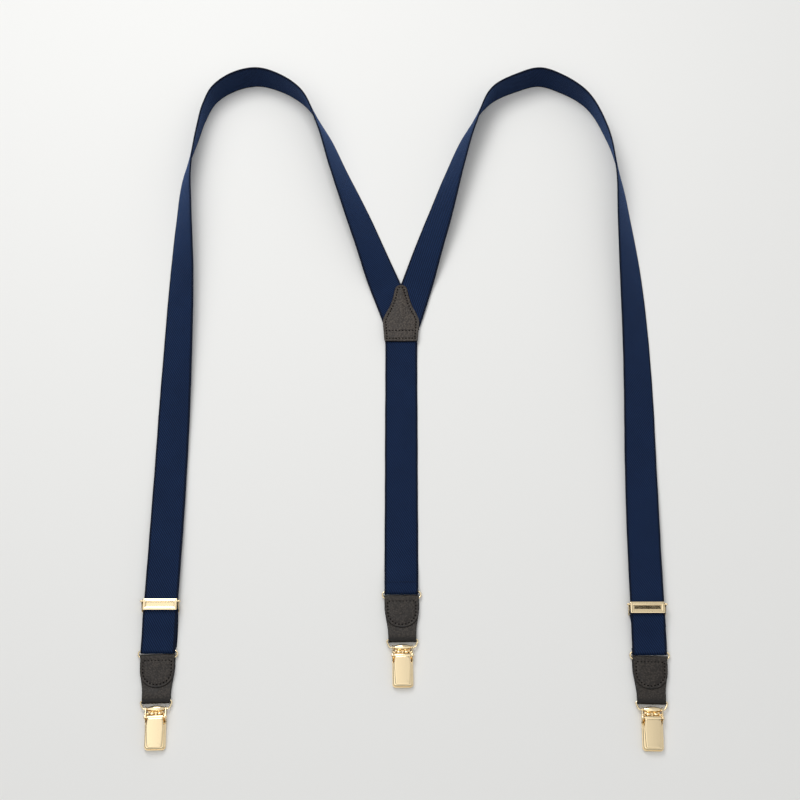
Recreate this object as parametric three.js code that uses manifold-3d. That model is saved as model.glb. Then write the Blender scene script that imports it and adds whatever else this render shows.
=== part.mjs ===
// Clip-on suspenders, laid out on a table. Millimetres, +Z up, +Y towards the shoulder arches.
// The origin is the centre of the leather yoke's underside, where the two shoulder straps and the back strap meet.
import * as THREE from "three";
import { mergeVertices } from "three/addons/utils/BufferGeometryUtils.js";
import Module from "manifold-3d";

// Driving dimensions
const WEB_WIDTH = 25;
const WEB_THICK = 1.3;
const LEATHER = 1.2;
const GAP = 0.3;
const WIRE_R = 0.6; // ring wire
const WRAP_CLEAR = 0.25; // free play between a wire and what is folded round it
const LOOP_CLEAR = 0.2; // the same at the adjuster's bar, which is always square to the webbing
const BAIL_R = 0.6;
const BAIL_BORE_R = 0.7;
const YOKE_LENGTH = 50.4;
const YOKE_THICK = 1.4;
const YOKE_BACK_THICK = 1.1;
const STRAP_END_Y = -12; // lower end of the shoulder straps inside the yoke
const SPLIT_Y = -75; // below this the webbing slides with the adjuster

// The three hanging ends: ring centre, turn of the tab and clip in degrees, how much shorter the tab
// is than the front ones, and how far the adjuster sits above the ring
const ENDS = {
  left: { x: -175.6, y: -277.6, turn: 1.7, shorter: 1, adjuster: 35.7 },
  right: { x: 179.3, y: -278.7, turn: -1.4, shorter: 1.5, adjuster: 34.4 },
  rear: { x: 0.4, y: -233, turn: 0.8, shorter: 1.5, adjuster: 0 },
};

// Edge of each shoulder strap that stays on the table: x, y and the roll of the web in degrees.
// 0 is flat, 90 stands on its edge; the other edge lifts towards the inside of the loop.
const LEFT_LAY = [
  [14.6, -14, 0],
  [7.4, 6, 0],
  [0.3, 26.1, 0],
  [-11.9, 56.8, 21],
  [-27.5, 95, 36],
  [-44.5, 132.5, 53],
  [-61.4, 170.1, 69],
  [-84.7, 203.6, 86],
  [-101.8, 214.6, 90],
  [-121.3, 220, 93],
  [-140.3, 215.2, 93],
  [-156.5, 202.6, 91],
  [-164.6, 184.6, 89],
  [-169.8, 164.5, 85],
  [-180, 124.6, 69],
  [-183, 83.6, 55],
  [-185.1, 32.1, 36],
  [-186.1, -18.9, 24],
  [-186.9, -73.9, 12],
  [-187.1, -128.9, 3],
  [-187.2, -178.9, 0],
  [-188.1, -271.3, 0],
];
const RIGHT_LAY = [
  [-12.4, -14, 0],
  [-5.9, 6, 0],
  [-0.2, 26.1, 0],
  [8.3, 52.5, 17],
  [22.5, 92.3, 35],
  [37.2, 132, 53],
  [54, 170.7, 69],
  [78.6, 204.6, 89],
  [97.3, 214.2, 92],
  [116.7, 219.9, 93],
  [136, 213, 91],
  [153.2, 201.4, 87],
  [172.6, 164.4, 83],
  [182, 123.2, 74],
  [187.5, 81.3, 58],
  [191.9, 39.2, 43],
  [194.6, -13.9, 31],
  [195.2, -73.9, 20],
  [193.9, -138.9, 8],
  [192.6, -198.9, 1],
  [191.8, -272.4, 0],
];

// Hinge places on a hanging end, from the ring's centre: y and z
const RING = { half: 14, bar: 2.4, corner: 1.6, z: 2.2 };
const BAIL = { top: -35.4, bottom: -41.4, z: 2.6 };
const LEVER_PIN = { y: -48, z: 5.2, r: 0.6, bore: 0.7 };
// The same on an adjuster, from its own centre
const CAM_PIN = { y: 2.4, z: 7.4, r: 0.45, bore: 0.55 };
const LOOP_BAR = { y: -3.3, z: 2.2 };

const NAVY = { color: 0x1b2a44, roughness: 0.85, metalness: 0 };
const BROWN = { color: 0x453c37, roughness: 0.6, metalness: 0 };
const GOLD = { color: 0xe6cf9d, roughness: 0.2, metalness: 1 };
const PAD = { color: 0xd8d2c4, roughness: 0.5, metalness: 0 };

const UP = new THREE.Vector3(0, 0, 1);
const wasm = await Module();
wasm.setup();

const suspenders = new THREE.Group();

function addNode(parent, name, geometry, finish) {
  const mesh = new THREE.Mesh(geometry, new THREE.MeshStandardMaterial(finish));
  mesh.name = name;
  parent.add(mesh);
  return mesh;
}

// Joins and cuts

function toSolid(geometry) {
  const bare = geometry.clone();
  bare.deleteAttribute("normal");
  bare.deleteAttribute("uv");
  const merged = mergeVertices(bare, 1e-4);
  const vertProperties = new Float32Array(merged.attributes.position.array);
  const triVerts = new Uint32Array(merged.index.array);
  return new wasm.Manifold(new wasm.Mesh({ numProp: 3, vertProperties, triVerts }));
}

function toGeometry(solid) {
  const { vertProperties, triVerts } = solid.getMesh();
  const geometry = new THREE.BufferGeometry();
  geometry.setAttribute("position", new THREE.BufferAttribute(vertProperties, 3));
  geometry.setIndex(new THREE.BufferAttribute(triVerts, 1));
  return geometry;
}

function combine(joined, cut = []) {
  const whole = joined.map(toSolid).reduce((a, b) => a.add(b));
  return toGeometry(cut.map(toSolid).reduce((a, b) => a.subtract(b), whole));
}

function box(x0, x1, y0, y1, z0, z1) {
  const geometry = new THREE.BoxGeometry(x1 - x0, y1 - y0, z1 - z0);
  return geometry.translate((x0 + x1) / 2, (y0 + y1) / 2, (z0 + z1) / 2);
}

// A round bar along X
function barX(radius, halfLength, y, z, sides = 14) {
  const geometry = new THREE.CylinderGeometry(radius, radius, 2 * halfLength, sides);
  return geometry.rotateZ(Math.PI / 2).translate(0, y, z);
}

// An outline in the (y, z) side view, carried from x0 to x1
function sidePlate(shape, x0, x1) {
  const geometry = new THREE.ExtrudeGeometry(shape, {
    depth: x1 - x0,
    bevelEnabled: false,
    curveSegments: 7,
  });
  const across = new THREE.Vector3(1, 0, 0);
  const along = new THREE.Vector3(0, 1, 0);
  geometry.applyMatrix4(new THREE.Matrix4().makeBasis(along, UP, across));
  return geometry.translate(x0, 0, 0);
}

function polygon(points) {
  return new THREE.Shape(points.map(([x, y]) => new THREE.Vector2(x, y)));
}

// A closed solid through rings of corners; every ring has the same number of corners
function loft(rings, closed = false) {
  const sides = rings[0].length;
  const positions = rings.flat().flatMap((p) => p.toArray());
  const index = [];
  const spans = closed ? rings.length : rings.length - 1;
  for (let i = 0; i < spans; i++) {
    const next = ((i + 1) % rings.length) * sides;
    for (let k = 0; k < sides; k++) {
      const a = i * sides + k;
      const b = i * sides + ((k + 1) % sides);
      const c = next + ((k + 1) % sides);
      const d = next + k;
      index.push(a, b, c, a, c, d);
    }
  }
  const last = (rings.length - 1) * sides;
  for (let k = 1; !closed && k + 1 < sides; k++) {
    index.push(0, k + 1, k);
    index.push(last, last + k, last + k + 1);
  }
  const geometry = new THREE.BufferGeometry();
  geometry.setAttribute("position", new THREE.Float32BufferAttribute(positions, 3));
  geometry.setIndex(index);
  return geometry;
}

// Corners of a flat web; across, normal and the way of travel are a right-handed set
function webSection(centre, across, normal, width, thick) {
  const corners = [
    [-1, -1],
    [1, -1],
    [1, 1],
    [-1, 1],
  ];
  return corners.map(([a, b]) =>
    centre
      .clone()
      .addScaledVector(across, (a * width) / 2)
      .addScaledVector(normal, (b * thick) / 2),
  );
}

// A web folded in the side view: path is a THREE.Path in (y, z), width gives the full width at a point
function foldedWeb(path, divisions, width, thick) {
  const points = path.getPoints(divisions);
  const across = new THREE.Vector3(1, 0, 0);
  const rings = points.map((p, i) => {
    const ahead = points[Math.min(i + 1, points.length - 1)];
    const behind = points[Math.max(i - 1, 0)];
    const travel = new THREE.Vector3(0, ahead.x - behind.x, ahead.y - behind.y).normalize();
    const normal = new THREE.Vector3().crossVectors(travel, across);
    return webSection(new THREE.Vector3(0, p.x, p.y), across, normal, width(p.x, i), thick);
  });
  return loft(rings);
}

// A closed loop of round wire whose centreline is a flat shape at height z
function wireLoop(shape, radius, z) {
  const sides = 8;
  const points = shape.getPoints(5).slice(0, -1);
  const rings = points.map((p, i) => {
    const before = points.at(i - 1);
    const after = points[(i + 1) % points.length];
    const come = p.clone().sub(before).normalize();
    const go = after.clone().sub(p).normalize();
    const travel = new THREE.Vector3(come.x + go.x, come.y + go.y, 0).normalize();
    const side = new THREE.Vector3().crossVectors(UP, travel);
    const ring = [];
    for (let k = 0; k < sides; k++) {
      const turn = (2 * Math.PI * k) / sides;
      ring.push(
        new THREE.Vector3(p.x, p.y, z)
          .addScaledVector(side, radius * Math.cos(turn))
          .addScaledVector(UP, radius * Math.sin(turn)),
      );
    }
    return ring;
  });
  return loft(rings, true);
}

// Yoke: two bell-shaped leather patches with the webbing between them

function yokeShape(inset) {
  const shape = new THREE.Shape();
  const half = 13 - inset;
  const shoulder = 14.3 - inset;
  const tip = YOKE_LENGTH / 2 - inset;
  const bottom = inset - YOKE_LENGTH / 2;
  shape.moveTo(0, tip);
  shape.quadraticCurveTo(4.6 - inset, tip - 0.7, 5.2 - inset, 20.5);
  shape.quadraticCurveTo(5.4 - inset, 15, 6.8 - inset, 11.4);
  shape.quadraticCurveTo(8.6 - inset, 5.4, shoulder, -5.6);
  shape.lineTo(half, bottom + 1);
  shape.lineTo(half - 0.8, bottom);
  shape.lineTo(0.8 - half, bottom);
  shape.lineTo(-half, bottom + 1);
  shape.lineTo(-shoulder, -5.6);
  shape.quadraticCurveTo(inset - 8.6, 5.4, inset - 6.8, 11.4);
  shape.quadraticCurveTo(inset - 5.4, 15, inset - 5.2, 20.5);
  shape.quadraticCurveTo(inset - 4.6, tip - 0.7, 0, tip);
  return shape;
}

function yokePatch(inset, z, thick) {
  const geometry = new THREE.ExtrudeGeometry(yokeShape(inset), {
    depth: thick,
    bevelEnabled: false,
    curveSegments: 5,
  });
  return geometry.translate(0, 0, z);
}

const webFloor = YOKE_BACK_THICK + GAP; // underside of the webbing inside the yoke
addNode(suspenders, "yoke_back", yokePatch(0.4, 0, YOKE_BACK_THICK), BROWN);
const yokeFrontZ = webFloor + WEB_THICK + GAP;
addNode(suspenders, "yoke_front", yokePatch(0, yokeFrontZ, YOKE_THICK), BROWN);

// Shoulder straps: one length of webbing each, over the shoulder from the yoke to the front ring

// Height that the web is lifted by what lies under it: the yoke's back patch, and at the
// lower end the return ply and the adjuster
function liftAt(x, y, adjusterY) {
  if (Math.abs(x) < 60) return webFloor * (1 - THREE.MathUtils.smoothstep(y, 22, 54));
  if (y > SPLIT_Y) return 0;
  const overLoop = LOOP_BAR.z + WIRE_R + LOOP_CLEAR + WEB_THICK + GAP;
  const overRing = RING.z + WIRE_R + WRAP_CLEAR;
  const climb = overLoop * THREE.MathUtils.smoothstep(-y, -SPLIT_Y, -adjusterY - 7);
  const descent = (overLoop - overRing) * THREE.MathUtils.smoothstep(-y, -adjusterY + 9, -adjusterY + 24);
  return climb - descent;
}

// Rings of the web along a lay; inside is +1 where the loop's inside is on the left of the way
function layRings(lay, inside, adjusterY, from, to, steps) {
  const curve = new THREE.CatmullRomCurve3(lay.map(([x, y, roll]) => new THREE.Vector3(x, y, roll)));
  const rings = [];
  for (let i = 0; i <= steps; i++) {
    const t = from + ((to - from) * i) / steps;
    const edge = curve.getPoint(t);
    const travel = curve.getTangent(t).setZ(0).normalize();
    const inwards = new THREE.Vector3(-travel.y, travel.x, 0).multiplyScalar(inside);
    const roll = THREE.MathUtils.degToRad(Math.max(edge.z, 0));
    const across = inwards.clone().multiplyScalar(Math.cos(roll)).addScaledVector(UP, Math.sin(roll));
    const normal = new THREE.Vector3().crossVectors(travel, across);
    const base = liftAt(edge.x, edge.y, adjusterY) + (WEB_THICK / 2) * Math.abs(Math.cos(roll));
    const centre = new THREE.Vector3(edge.x, edge.y, base).addScaledVector(across, WEB_WIDTH / 2);
    rings.push(webSection(centre, across, normal, WEB_WIDTH, WEB_THICK));
  }
  return rings;
}

// Share of the lay's curve at which its table edge passes a given y on the outer leg
function shareAtY(lay, y) {
  const curve = new THREE.CatmullRomCurve3(lay.map((p) => new THREE.Vector3(...p)));
  let low = 0.5;
  let high = 1;
  for (let i = 0; i < 40; i++) {
    const middle = (low + high) / 2;
    if (curve.getPoint(middle).y > y) low = middle;
    else high = middle;
  }
  return low;
}

function shoulderStrap(side, lay, inside) {
  const adjusterY = ENDS[side].y + ENDS[side].adjuster;
  const split = shareAtY(lay, SPLIT_Y);
  const below = shareAtY(lay, SPLIT_Y - GAP);
  const upper = loft(layRings(lay, inside, adjusterY, 0, split, 88));
  // the two straps are cut to butt along the yoke's centre line, and level at their lower ends
  const mitre = inside > 0 ? box(-0.15, 60, -60, 60, -5, 20) : box(-60, 0.15, -60, 60, -5, 20);
  const level = box(-60, 60, -60, STRAP_END_Y + 0.5, -5, 20);
  addNode(suspenders, "shoulder_strap_" + side, combine([upper], [mitre, level]), NAVY);
  addNode(
    suspenders,
    "strap_run_" + side,
    loft(layRings(lay, inside, adjusterY, below, 1, 44)),
    NAVY,
  );
}

shoulderStrap("left", LEFT_LAY, 1);
shoulderStrap("right", RIGHT_LAY, -1);

// Back strap: from the yoke down to the rear ring, folded round the ring's bar and sewn to itself

function backStrap() {
  const bar = ENDS.rear.y + RING.bar;
  const wrap = WIRE_R + WRAP_CLEAR + WEB_THICK / 2;
  const top = RING.z + wrap;
  const path = new THREE.Path();
  path.moveTo(STRAP_END_Y, webFloor + WEB_THICK / 2);
  path.lineTo(-27, webFloor + WEB_THICK / 2);
  path.lineTo(-37, WEB_THICK / 2 + 0.5);
  path.lineTo(-45, WEB_THICK / 2 + 0.05);
  path.lineTo(bar + 20, WEB_THICK / 2 + 0.05);
  path.lineTo(bar + 14, WEB_THICK * 1.5 + 0.4);
  path.lineTo(bar + 7, WEB_THICK * 1.5 + 0.6);
  path.lineTo(bar + 2, top);
  path.absarc(bar, RING.z, wrap, Math.PI / 2, (3 * Math.PI) / 2, false);
  path.lineTo(bar + 13, RING.z - wrap);
  return foldedWeb(path, 5, () => WEB_WIDTH, WEB_THICK).translate(ENDS.rear.x / 2, 0, 0);
}

addNode(suspenders, "back_strap", backStrap(), NAVY);

// Lower end of a shoulder strap: the fold round the ring and the ply that returns to the adjuster

const FOLD_END = 6;

function strapFold() {
  const wrap = WIRE_R + WRAP_CLEAR + WEB_THICK / 2;
  const path = new THREE.Path();
  path.moveTo(FOLD_END, RING.z + wrap);
  path.lineTo(RING.bar, RING.z + wrap);
  path.absarc(RING.bar, RING.z, wrap, Math.PI / 2, (3 * Math.PI) / 2, false);
  path.lineTo(FOLD_END, RING.z - wrap);
  return foldedWeb(path, 5, () => WEB_WIDTH, WEB_THICK);
}

function strapReturn(adjuster) {
  const wrap = WIRE_R + LOOP_CLEAR + WEB_THICK / 2;
  const bar = adjuster + LOOP_BAR.y;
  const path = new THREE.Path();
  path.moveTo(FOLD_END + GAP, LOOP_BAR.z - wrap);
  path.lineTo(bar, LOOP_BAR.z - wrap);
  path.absarc(bar, LOOP_BAR.z, wrap, -Math.PI / 2, Math.PI / 2, false);
  path.lineTo(bar - 5, WEB_THICK * 1.5 + 0.25);
  path.lineTo(bar - 10, WEB_THICK * 1.5 + 0.25);
  return foldedWeb(path, 5, () => WEB_WIDTH, WEB_THICK);
}

// Ring: a rectangle of thin wire with round corners

function ringLoop() {
  const { half, bar, corner } = RING;
  const shape = new THREE.Shape();
  shape.moveTo(-half + corner, -bar);
  shape.lineTo(half - corner, -bar);
  shape.quadraticCurveTo(half, -bar, half, -bar + corner);
  shape.lineTo(half, bar - corner);
  shape.quadraticCurveTo(half, bar, half - corner, bar);
  shape.lineTo(-half + corner, bar);
  shape.quadraticCurveTo(-half, bar, -half, bar - corner);
  shape.lineTo(-half, -bar + corner);
  shape.quadraticCurveTo(-half, -bar, -half + corner, -bar);
  return wireLoop(shape, WIRE_R, RING.z);
}

// Leather tab: one strip from the flap's rounded end, over the ring, down the back, round the bail
// and up again under the flap

const FLAP_TIP = -25.1;
const FLAP_ROUND = 11;
const TAB_TOP_HALF = 12.7;
const TAB_END_HALF = 10.2;

function tabHalfWidth(y) {
  const taper = THREE.MathUtils.smoothstep(-y, 8, 30);
  return TAB_TOP_HALF + (TAB_END_HALF - TAB_TOP_HALF) * taper;
}

function flapHalfWidth(y) {
  const into = Math.max(FLAP_TIP + FLAP_ROUND - y, 0) / FLAP_ROUND;
  return Math.max(12.3 * Math.sqrt(1 - into * into), 0.8);
}

function leatherTab(shorter) {
  const fold = BAIL.top + shorter;
  const ringWrap = WIRE_R + WRAP_CLEAR + LEATHER / 2;
  const bailWrap = BAIL_R + WRAP_CLEAR + LEATHER / 2;
  const bar = -RING.bar;
  const path = new THREE.Path();
  const flapSteps = 9;
  path.moveTo(FLAP_TIP, 3.45);
  for (let i = 1; i <= flapSteps; i++) {
    const turn = (Math.PI / 2) * (i / flapSteps);
    path.lineTo(FLAP_TIP + FLAP_ROUND * (1 - Math.cos(turn)), 3.45);
  }
  path.lineTo(bar - 3, 3.45);
  path.lineTo(bar, RING.z + ringWrap);
  path.absarc(bar, RING.z, ringWrap, Math.PI / 2, -Math.PI / 2, true);
  path.lineTo(bar - 6, RING.z - ringWrap);
  for (const y of [-14, -20, -26, -31]) path.lineTo(y, RING.z - ringWrap);
  path.lineTo(fold, BAIL.z - bailWrap);
  path.absarc(fold, BAIL.z, bailWrap, -Math.PI / 2, -1.5 * Math.PI, true);
  path.lineTo(fold + 2.4, 3.8);
  path.lineTo(fold + 8, 2.05);
  path.lineTo(-14, 2.05);
  path.lineTo(-6, 2.05);
  const fullWidth = (y, i) => 2 * (i <= flapSteps ? flapHalfWidth(y) : tabHalfWidth(y));
  return foldedWeb(path, 5, fullWidth, LEATHER);
}

// Bail: a closed wire loop; its top bar lies in the tab and its bottom bar is the clip's hinge pin

function bailLoop() {
  const { top, bottom } = BAIL;
  const shape = new THREE.Shape();
  shape.moveTo(-10.6, top);
  shape.lineTo(10.6, top);
  shape.quadraticCurveTo(12.1, top, 11.5, top - 1.5);
  shape.lineTo(9.6, bottom + 1.2);
  shape.quadraticCurveTo(9, bottom, 7.9, bottom);
  shape.lineTo(-7.9, bottom);
  shape.quadraticCurveTo(-9, bottom, -9.6, bottom + 1.2);
  shape.lineTo(-11.5, top - 1.5);
  shape.quadraticCurveTo(-12.1, top, -10.6, top);
  return wireLoop(shape, BAIL_R, BAIL.z);
}

// Clip

const CLIP_HALF = 7.55;
const WALL = 0.9;
const INSIDE_HALF = 6.2; // jaw, barrels and pads between the side walls
const CLIP_END = -70.8;
const PAD_TOP = -52.6;
const PAD_END = -68.7;
const JAW_HALF = 7.3; // the jaw below the side walls' ears

function clipSideShape() {
  const shape = new THREE.Shape();
  const third = Math.PI / 3;
  shape.moveTo(-68.9, 0);
  shape.lineTo(BAIL.bottom - 1, 0);
  shape.absarc(BAIL.bottom, BAIL.z, 2, -Math.PI / 2, third, false);
  shape.absarc(LEVER_PIN.y, LEVER_PIN.z, 1.7, third, Math.PI, false);
  shape.lineTo(-51.2, 2.4);
  shape.lineTo(-68.9, 2.4);
  return shape;
}

function clipBase() {
  const plate = polygon([
    [-CLIP_HALF, -43.8],
    [-CLIP_HALF, CLIP_END + 2.5],
    [-CLIP_HALF + 0.8, CLIP_END + 0.7],
    [-CLIP_HALF + 2.4, CLIP_END],
    [CLIP_HALF - 2.4, CLIP_END],
    [CLIP_HALF - 0.8, CLIP_END + 0.7],
    [CLIP_HALF, CLIP_END + 2.5],
    [CLIP_HALF, -43.8],
  ]);
  const floor = new THREE.ExtrudeGeometry(plate, { depth: WALL, bevelEnabled: false });
  const lip = box(-4.9, 4.9, CLIP_END, CLIP_END + 0.7, 0.3, 1.9);
  const walls = [-1, 1].map((side) => {
    const inner = side * (CLIP_HALF - WALL);
    const outer = side * CLIP_HALF;
    return sidePlate(clipSideShape(), Math.min(inner, outer), Math.max(inner, outer));
  });
  const holes = [
    barX(BAIL_BORE_R, 12, BAIL.bottom, BAIL.z),
    barX(LEVER_PIN.bore, 12, LEVER_PIN.y, LEVER_PIN.z),
  ];
  // the lower ends of the walls are trimmed to the plate's rounded corners
  const corners = [-1, 1].map((side) =>
    box(Math.min(side * 6.9, side * 9), Math.max(side * 6.9, side * 9), -75, -68, 0.95, 4),
  );
  return combine([floor, lip, ...walls], [...holes, ...corners]);
}

function clipJaw() {
  const neck = polygon([
    [-42, 1.6],
    [-42, 2.4],
    [-49.6, 2.4],
    [-51.6, 4.4],
    [-53, 4.4],
    [-53, 3.6],
    [-52, 3.6],
    [-50, 1.6],
  ]);
  const plan = new THREE.Shape();
  plan.moveTo(-JAW_HALF, -52.4);
  plan.lineTo(-JAW_HALF, CLIP_END + 2.6);
  plan.quadraticCurveTo(-JAW_HALF, CLIP_END + 0.6, -JAW_HALF + 2, CLIP_END + 0.6);
  plan.lineTo(JAW_HALF - 2, CLIP_END + 0.6);
  plan.quadraticCurveTo(JAW_HALF, CLIP_END + 0.6, JAW_HALF, CLIP_END + 2.6);
  plan.lineTo(JAW_HALF, -52.4);
  const shell = new THREE.ExtrudeGeometry(plan, { depth: 1.7, bevelEnabled: false, curveSegments: 4 });
  shell.translate(0, 0, 2.7);
  const inside = box(0.8 - JAW_HALF, JAW_HALF - 0.8, CLIP_END + 1.4, 0, 2, 3.6);
  const barrel = barX(1.9, INSIDE_HALF, BAIL.bottom, BAIL.z);
  const bore = barX(BAIL_BORE_R, 12, BAIL.bottom, BAIL.z);
  const cup = combine([shell], [inside]);
  return combine([sidePlate(neck, -INSIDE_HALF, INSIDE_HALF), cup, barrel], [bore]);
}

function clipLever() {
  const side = polygon([
    [-48, 5.5],
    [-48, 6.6],
    [-49.8, 6.55],
    [-58, 6.3],
    [-68.9, 5.75],
    [-69.6, 5.25],
    [-69.2, 4.75],
  ]);
  const plan = new THREE.Shape();
  plan.moveTo(-5.5, -44);
  plan.quadraticCurveTo(-5.8, -58, -5.1, -67.9);
  plan.quadraticCurveTo(-4.9, -69.3, -3.4, -69.5);
  plan.lineTo(3.4, -69.5);
  plan.quadraticCurveTo(4.9, -69.3, 5.1, -67.9);
  plan.quadraticCurveTo(5.8, -58, 5.5, -44);
  const outline = new THREE.ExtrudeGeometry(plan, { depth: 12, bevelEnabled: false, curveSegments: 4 });
  const plate = toSolid(sidePlate(side, -8, 8)).intersect(toSolid(outline));
  const barrel = barX(1.5, INSIDE_HALF, LEVER_PIN.y, LEVER_PIN.z);
  const bore = barX(LEVER_PIN.bore, 12, LEVER_PIN.y, LEVER_PIN.z);
  return toGeometry(plate.add(toSolid(barrel)).subtract(toSolid(bore)));
}

// A hanging end, from the ring down to the clip

function hangingEnd(name) {
  const { x, y, turn, shorter } = ENDS[name];
  const atRing = new THREE.Group();
  atRing.position.set(x, y, 0);
  suspenders.add(atRing);
  const ring = addNode(atRing, "ring_" + name, ringLoop(), GOLD);
  ring.rotation.z = THREE.MathUtils.degToRad(turn / 2);

  const turned = new THREE.Group();
  turned.rotation.z = THREE.MathUtils.degToRad(turn);
  atRing.add(turned);
  addNode(turned, "leather_tab_" + name, leatherTab(shorter), BROWN);

  const clip = new THREE.Group();
  clip.position.y = shorter;
  turned.add(clip);
  addNode(clip, "bail_" + name, bailLoop(), GOLD);
  addNode(clip, "clip_base_" + name, clipBase(), GOLD);
  addNode(clip, "clip_jaw_" + name, clipJaw(), GOLD);
  addNode(clip, "clip_lever_" + name, clipLever(), GOLD);
  addNode(clip, "lever_pin_" + name, barX(LEVER_PIN.r, 8.1, LEVER_PIN.y, LEVER_PIN.z), GOLD);
  const basePad = box(-INSIDE_HALF, INSIDE_HALF, PAD_END, PAD_TOP, 1.2, 2.2);
  const jawPad = box(-5.9, 5.9, PAD_END, PAD_TOP, 2.5, 3.3);
  addNode(clip, "base_pad_" + name, basePad, PAD);
  addNode(clip, "jaw_pad_" + name, jawPad, PAD);
  return atRing;
}

// Adjuster: a frame that the strap runs through, and a hinged lever that grips it

const EAR_IN = 12.85;
const EAR_OUT = 13.65;

function adjusterEarShape() {
  const shape = new THREE.Shape();
  shape.moveTo(-4.3, 1.4);
  shape.lineTo(4.3, 2.8);
  shape.lineTo(4.3, 5.6);
  shape.absarc(CAM_PIN.y, CAM_PIN.z, 1.1, 0, Math.PI, false);
  shape.lineTo(-2.6, 4.4);
  shape.lineTo(-4.3, 3.2);
  return shape;
}

function adjusterFrame() {
  const plate = box(-EAR_OUT, EAR_OUT, -0.7, 4.3, 3.2, 4);
  const bar = barX(WIRE_R, EAR_OUT - 0.1, LOOP_BAR.y, LOOP_BAR.z);
  const ears = [sidePlate(adjusterEarShape(), -EAR_OUT, -EAR_IN), sidePlate(adjusterEarShape(), EAR_IN, EAR_OUT)];
  const hole = barX(CAM_PIN.bore, 20, CAM_PIN.y, CAM_PIN.z);
  return combine([plate, bar, ...ears], [hole]);
}

function adjusterLever() {
  const half = WEB_WIDTH / 2;
  const section = polygon([
    [-4.25, 7.5],
    [-3.9, 7.25],
    [3.9, 7.25],
    [4.25, 7.5],
    [4.25, 7.8],
    [3.5, 8.25],
    [-3.5, 8.25],
    [-4.25, 7.8],
  ]);
  const barrel = barX(0.95, half, CAM_PIN.y, CAM_PIN.z);
  const bore = barX(CAM_PIN.bore, 20, CAM_PIN.y, CAM_PIN.z);
  return combine([sidePlate(section, -half, half), barrel], [bore]);
}

function adjuster(side, atRing) {
  const group = new THREE.Group();
  group.position.y = ENDS[side].adjuster;
  atRing.add(group);
  addNode(group, "adjuster_frame_" + side, adjusterFrame(), GOLD);
  addNode(group, "adjuster_lever_" + side, adjusterLever(), GOLD);
  addNode(group, "adjuster_pin_" + side, barX(CAM_PIN.r, 14.5, CAM_PIN.y, CAM_PIN.z), GOLD);
}

for (const side of ["left", "right"]) {
  const atRing = hangingEnd(side);
  addNode(atRing, "strap_fold_" + side, strapFold(), NAVY);
  addNode(atRing, "strap_return_" + side, strapReturn(ENDS[side].adjuster), NAVY);
  adjuster(side, atRing);
}
hangingEnd("rear");

export default suspenders;
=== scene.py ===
import math

import bmesh
import bpy
import numpy as np
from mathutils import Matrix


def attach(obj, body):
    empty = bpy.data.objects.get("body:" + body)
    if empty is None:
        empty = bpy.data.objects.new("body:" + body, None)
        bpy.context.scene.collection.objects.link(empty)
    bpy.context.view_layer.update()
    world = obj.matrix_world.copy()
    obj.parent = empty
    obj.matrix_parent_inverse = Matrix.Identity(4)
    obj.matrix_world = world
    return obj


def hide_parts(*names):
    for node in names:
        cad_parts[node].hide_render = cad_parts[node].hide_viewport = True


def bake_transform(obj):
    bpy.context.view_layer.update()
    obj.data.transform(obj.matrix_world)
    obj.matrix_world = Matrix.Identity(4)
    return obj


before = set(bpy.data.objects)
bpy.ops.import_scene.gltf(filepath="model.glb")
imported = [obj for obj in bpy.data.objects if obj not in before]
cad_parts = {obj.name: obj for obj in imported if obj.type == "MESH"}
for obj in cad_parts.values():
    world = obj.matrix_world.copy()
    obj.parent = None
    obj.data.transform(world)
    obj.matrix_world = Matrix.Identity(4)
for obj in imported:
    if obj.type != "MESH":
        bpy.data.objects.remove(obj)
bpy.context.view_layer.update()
mm = 0.001
scene = bpy.context.scene
print("frame loaded")

# the camera looks down from the clips' side of the table; tilt is off the vertical, distances in mm

shot = {"aim": (-0.8, -74.3), "tilt": 25.0, "distance": 1277.3, "lens": 74.15, "sensor": 36.0}


def placeCamera():
    tilt = math.radians(shot["tilt"])
    data = bpy.data.cameras.new("camera")
    data.lens = shot["lens"]
    data.sensor_width = shot["sensor"]
    data.clip_end = 20
    camera = bpy.data.objects.new("camera", data)
    aimX, aimY = shot["aim"]
    back = shot["distance"] * math.sin(tilt)
    up = shot["distance"] * math.cos(tilt)
    camera.location = (aimX * mm, (aimY - back) * mm, up * mm)
    camera.rotation_euler = (tilt, 0, 0)
    scene.collection.objects.link(camera)
    scene.camera = camera


placeCamera()
scene.view_settings.view_transform = "Standard"


def newMaterial(name):
    material = bpy.data.materials.new(name)
    material.use_nodes = True
    tree = material.node_tree
    return material, tree, tree.nodes["Principled BSDF"]


def setInputs(node, values):
    for name, value in values.items():
        node.inputs[name].default_value = value


def calc(tree, operation, first, second=None, third=None):
    node = tree.nodes.new("ShaderNodeMath")
    node.operation = operation
    for socket, value in zip(node.inputs, (first, second, third)):
        if isinstance(value, (int, float)):
            socket.default_value = value
        elif value is not None:
            tree.links.new(value, socket)
    return node.outputs[0]


def blendColour(tree, factor, first, second):
    node = tree.nodes.new("ShaderNodeMix")
    node.data_type = "RGBA"
    tree.links.new(factor, node.inputs["Factor"])
    for socket, value in ((node.inputs[6], first), (node.inputs[7], second)):
        if isinstance(value, tuple):
            socket.default_value = (*value, 1)
        else:
            tree.links.new(value, socket)
    return node.outputs[2]


def bumpFrom(tree, height, distance, strength, below=None):
    node = tree.nodes.new("ShaderNodeBump")
    setInputs(node, {"Distance": distance, "Strength": strength})
    tree.links.new(height, node.inputs["Height"])
    if below is not None:
        tree.links.new(below, node.inputs["Normal"])
    return node.outputs[0]


def smoothStep(tree, value, low, high):
    node = tree.nodes.new("ShaderNodeMapRange")
    node.interpolation_type = "SMOOTHSTEP"
    setInputs(node, {"From Min": low, "From Max": high})
    tree.links.new(value, node.inputs["Value"])
    return node.outputs[0]


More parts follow.
